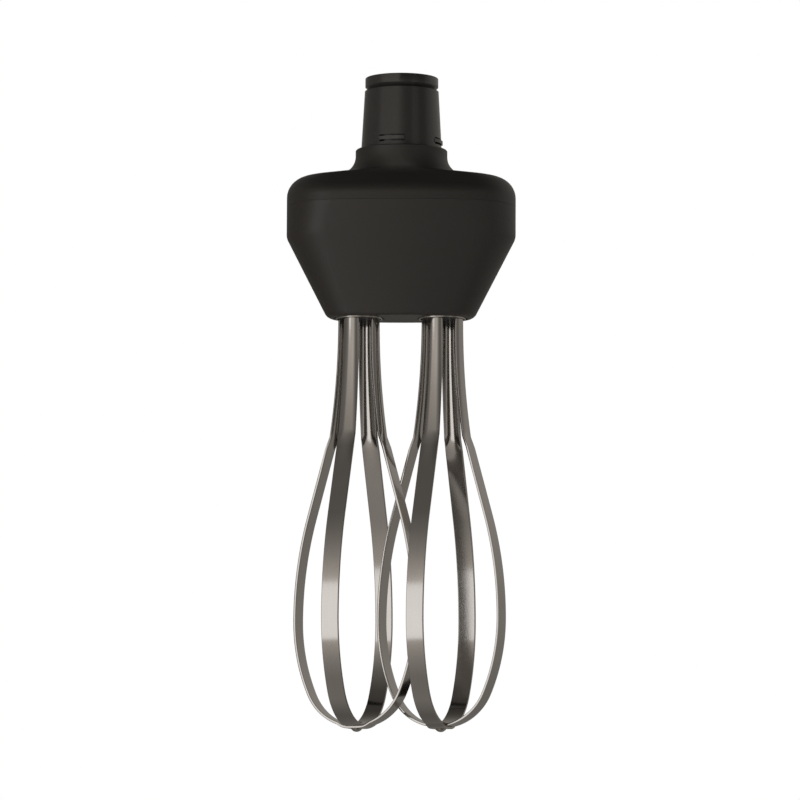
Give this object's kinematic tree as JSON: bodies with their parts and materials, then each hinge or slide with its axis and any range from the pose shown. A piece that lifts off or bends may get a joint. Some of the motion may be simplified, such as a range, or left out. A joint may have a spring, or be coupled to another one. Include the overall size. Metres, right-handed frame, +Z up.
{
  "type": "twin whisk attachment for a hand mixer",
  "caption": "Twin balloon whisks of flat steel strip on a black gear housing with a tapered stub that plugs into a hand mixer's motor handle.",
  "frame": {"origin": "centre of the collar's top seat, on the neck axis", "axes": "+Z up the neck towards the motor handle, X across the two whisks, -Y to the front"},
  "size_m": [0.0798, 0.045, 0.2282],
  "materials": {
    "gloss_black": "polished moulding",
    "satin_black": "fine satin moulding",
    "hub_black": "matt moulding",
    "strip_steel": "polished strip",
    "rivet_steel": "polished",
    "shaft_steel": "ground",
    "bush_bronze": "sintered",
    "gear_plastic": "moulded",
    "dog_plastic": "moulded"
  },
  "bodies": {
    "housing": {"coupling_stub": "gloss_black", "upper_cover": "satin_black", "lower_housing": "satin_black", "input_bush": "bush_bronze", "left_bush": "bush_bronze", "right_bush": "bush_bronze", "right_idler_pin": "shaft_steel"},
    "input": {"input_shaft": "shaft_steel", "drive_dog": "dog_plastic", "shaft_clip": "shaft_steel"},
    "centre_idler": {"centre_idler": "gear_plastic"},
    "right_idler": {"right_idler": "gear_plastic"},
    "left_whisk": {"left_hub": "hub_black", "left_ferrule": "rivet_steel", "left_spindle": "shaft_steel", "left_outer_loop": "strip_steel", "left_inner_loop": "strip_steel", "left_rivet": "rivet_steel", "left_drive_gear": "gear_plastic", "left_sync_gear": "gear_plastic", "left_clip": "shaft_steel"},
    "right_whisk": {"right_hub": "hub_black", "right_ferrule": "rivet_steel", "right_spindle": "shaft_steel", "right_outer_loop": "strip_steel", "right_inner_loop": "strip_steel", "right_rivet": "rivet_steel", "right_sync_gear": "gear_plastic", "right_clip": "shaft_steel"}
  },
  "joints": [
    {"name": "left_whisk_spin", "type": "hinge", "parent": "housing", "child": "left_whisk", "pos_m": [-0.0145, 0, 0], "axis": [0, 0, 1], "continuous": true},
    {"name": "right_whisk_spin", "type": "hinge", "parent": "housing", "child": "right_whisk", "pos_m": [0.0145, 0, 0], "axis": [0, 0, 1], "continuous": true},
    {"name": "centre_idler_spin", "type": "hinge", "parent": "housing", "child": "centre_idler", "pos_m": [0, 0, 0], "axis": [0, 0, 1], "continuous": true},
    {"name": "right_idler_spin", "type": "hinge", "parent": "housing", "child": "right_idler", "pos_m": [0.0145, 0, 0], "axis": [0, 0, 1], "continuous": true},
    {"name": "input_spin", "type": "hinge", "parent": "housing", "child": "input", "pos_m": [0, 0, 0], "axis": [0, 0, 1], "continuous": true}
  ],
  "couplings": [
    {"joint": "right_whisk_spin", "follows": "left_whisk_spin", "ratio": -1},
    {"joint": "centre_idler_spin", "follows": "left_whisk_spin", "ratio": -1.9},
    {"joint": "right_idler_spin", "follows": "left_whisk_spin", "ratio": 3.61},
    {"joint": "input_spin", "follows": "left_whisk_spin", "ratio": -6.859}
  ]
}
